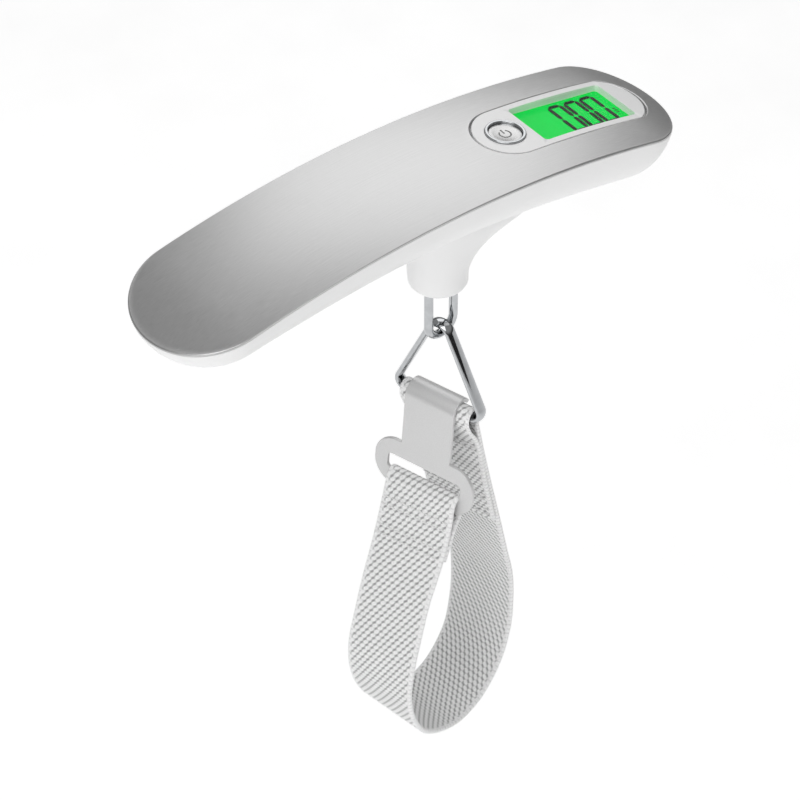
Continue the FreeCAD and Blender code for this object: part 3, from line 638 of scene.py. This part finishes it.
class SCALE_OT_finishes(bpy.types.Operator):
    """Finishes of every piece that keeps its shape, with a small rounding on its hard edges"""
    bl_idname = "scale.finishes"
    bl_label = "Finishes"

    rounded = {"lower_housing": 0.25, "display_bezel": 0.2, "battery_door": 0.2, "strap_hook": 0.18,
               "power_button": 0.15, "button_trim_ring": 0.2, "display_window": 0.15}

    def execute(self, context):
        slots = {part["node"]: part["material_slot"] for part in frame["record"]["subparts"]}
        for name, node in frame["nodes"].items():
            finish = material(slots[name])
            if not node.data.materials:
                node.data.materials.append(finish)
            for slot in node.material_slots:
                slot.material = finish
            if name in self.rounded:
                weld = node.modifiers.new("join", "WELD")
                weld.merge_threshold = 1e-6
                bevel = node.modifiers.new("rounding", "BEVEL")
                bevel.width = self.rounded[name] / 1000
                bevel.segments = 2
                bevel.limit_method = "ANGLE"
                bevel.angle_limit = math.radians(50)
                bevel.harden_normals = True
                shade = node.modifiers.new("even_shading", "WEIGHTED_NORMAL")
                shade.mode, shade.weight, shade.keep_sharp = "FACE_AREA", 80, False
        return {"FINISHED"}


# ---------------------------------------------------------------- stage

def aimed(place, ahead):
    """Matrix of a lamp or camera at a place, looking ahead with its top up."""
    return Matrix.Translation(place) @ ahead.to_track_quat("-Z", "Y").to_matrix().to_4x4()


class SCALE_OT_stage(bpy.types.Operator):
    """Pale floor, soft lights and the camera"""
    bl_idname = "scale.stage"
    bl_label = "Stage"

    def execute(self, context):
        scene, settings = context.scene, context.scene.luggage_scale
        low = CAD_BOX[0][2] - settings.floor_drop
        mesh = bpy.data.meshes.new("floor")
        size = 4.0
        mesh.from_pydata([(-size, -size, low), (size, -size, low), (size, size, low), (-size, size, low)], [],
                         [(0, 1, 2, 3)])
        mesh.materials.append(material("stage_paper"))
        floor = bpy.data.objects.new("floor", mesh)
        scene.collection.objects.link(floor)
        world = bpy.data.worlds.new("studio")
        world.use_nodes = True
        # a soft grey room that is darker towards the horizon, for the chrome to reflect
        tree = world.node_tree
        way = put(tree, "ShaderNodeTexCoord").outputs["Generated"]
        height = put(tree, "ShaderNodeSeparateXYZ", {"Vector": way}).outputs["Z"]
        grey = colour_ramp(tree, height, (linear("#303030"), 0.02), (linear("#a0a0a0"), 0.38))
        tree.links.new(grey, tree.nodes["Background"].inputs["Color"])
        scene.world = world
        scene.view_settings.view_transform = "Standard"
        middle = Vector((-0.0097, 0.0, -0.0517))
        for name, way, reach, size, power in (
                ("key", (0.47, 0.60, 0.66), 0.8, 0.5, settings.key_power),
                ("front_fill", (-0.95, -0.45, 0.45), 1.0, 0.8, 1.4),
                ("overhead", (-0.5, -0.5, 1.0), 1.1, 1.0, 6.0)):
            light = bpy.data.lights.new(name, "AREA")
            light.energy, light.size = power, size
            lamp = bpy.data.objects.new(name, light)
            place = middle + Vector(way).normalized() * reach
            lamp.matrix_world = aimed(place, middle - place)
            scene.collection.objects.link(lamp)
        camera = bpy.data.cameras.new("camera")
        camera.lens, camera.sensor_width = 130.81, 36.0
        camera.shift_x, camera.shift_y = -0.0096, -0.0583
        camera.clip_start = 0.01
        view = bpy.data.objects.new("camera", camera)
        back = Vector((-0.4545, -0.5900, 0.6673)).normalized()
        place = middle + back * 0.6708
        view.matrix_world = aimed(place, -back)
        scene.collection.objects.link(view)
        scene.camera = view
        return {"FINISHED"}


class SCALE_PT_panel(bpy.types.Panel):
    """Settings of the scale and one button for each group of pieces"""
    bl_idname = "SCALE_PT_panel"
    bl_label = "Luggage scale"
    bl_space_type = "VIEW_3D"
    bl_region_type = "UI"
    bl_category = "Scale"

    def draw(self, context):
        for name in LuggageScaleSettings.__annotations__:
            self.layout.prop(context.scene.luggage_scale, name)
        for step in STEPS:
            self.layout.operator(step.bl_idname)


STEPS = (SCALE_OT_stage, SCALE_OT_cover, SCALE_OT_display, SCALE_OT_button, SCALE_OT_wire, SCALE_OT_webbing,
         SCALE_OT_stitches, SCALE_OT_finishes)
CLASSES = (LuggageScaleSettings, *STEPS, SCALE_PT_panel)


def register():
    for item in CLASSES:
        bpy.utils.register_class(item)
    bpy.types.Scene.luggage_scale = bpy.props.PointerProperty(type=LuggageScaleSettings)


def unregister():
    del bpy.types.Scene.luggage_scale
    for item in reversed(CLASSES):
        bpy.utils.unregister_class(item)


def main():
    register()
    for step in STEPS:
        getattr(bpy.ops.scale, step.bl_idname.split(".")[1])()
    bpy.context.view_layer.update()


if __name__ == "__main__":
    main()
